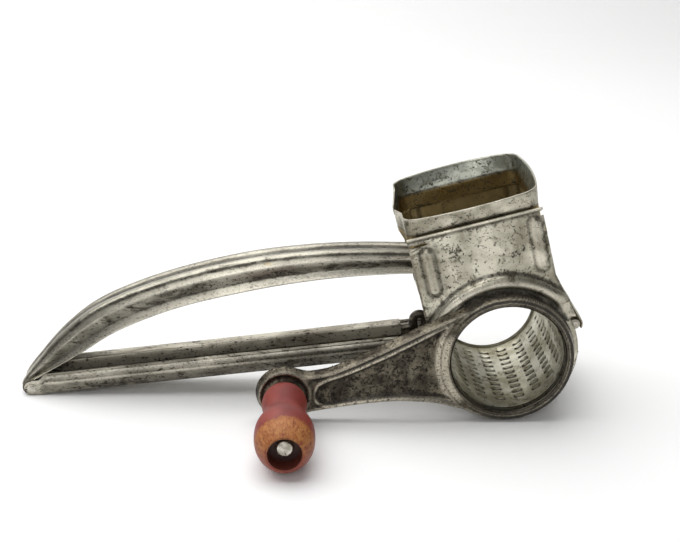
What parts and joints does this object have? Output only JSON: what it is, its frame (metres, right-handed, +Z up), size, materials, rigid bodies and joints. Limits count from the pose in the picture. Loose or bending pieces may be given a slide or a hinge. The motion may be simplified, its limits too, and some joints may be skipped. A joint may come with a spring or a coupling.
{
  "type": "rotary food shredder",
  "caption": "Hand-cranked rotary shredder: tinned sheet hopper over a slotted drum, squeezed by two long handles, turned by a crank with a red wooden knob.",
  "frame": {"origin": "bottom centre of the whole object as it lies on a table, handles closed", "axes": "+X from the tail hinge to the drum, +Y along the drum axis away from the crank, +Z up"},
  "size_m": [0.2386, 0.1134, 0.1012],
  "materials": {
    "tinned_sheet": "worn tinned sheet, dull, with brown stains",
    "drum_sheet": "tinned sheet with a pierced pattern",
    "dark_sheet": "darkened steel, worn bright on the edges",
    "steel_wire": "drawn wire, dull",
    "red_wood": "turned wood, red paint worn through at the ends"
  },
  "bodies": {
    "frame": {"hopper_liner": "tinned_sheet", "near_plate": "tinned_sheet", "far_plate": "tinned_sheet", "bearing_rings": "tinned_sheet", "drum_cradle": "tinned_sheet", "hem_wire": "steel_wire", "lower_handle": "tinned_sheet", "tail_pin": "steel_wire", "frame_rivets": "steel_wire"},
    "presser_lever": {"upper_handle": "tinned_sheet", "presser_plate": "tinned_sheet", "presser_bracket": "tinned_sheet", "presser_rivets": "steel_wire"},
    "latch": {"latch_lever": "tinned_sheet", "latch_hook": "steel_wire"},
    "crank": {"crank_arm": "dark_sheet", "grating_drum": "drum_sheet", "mouth_ring": "tinned_sheet", "knob_pin": "steel_wire", "pin_washer": "steel_wire"},
    "knob": {"crank_knob": "red_wood"}
  },
  "joints": [
    {"name": "presser_hinge", "type": "hinge", "parent": "frame", "child": "presser_lever", "pos_m": [-0.11469, 0.02627, 0.0034], "axis": [0, -1, 0], "range_deg": [0, 50]},
    {"name": "latch_lift", "type": "hinge", "parent": "frame", "child": "latch", "pos_m": [-0.11469, 0.02627, 0.0034], "axis": [0, -1, 0], "range_deg": [0, 5]},
    {"name": "drum_spin", "type": "hinge", "parent": "frame", "child": "crank", "pos_m": [0.08761, 0.02627, 0.0288], "axis": [0, 1, 0], "continuous": true},
    {"name": "knob_spin", "type": "hinge", "parent": "crank", "child": "knob", "pos_m": [-0.00539, -0.03372, 0.0125], "axis": [0, 1, 0], "continuous": true}
  ]
}
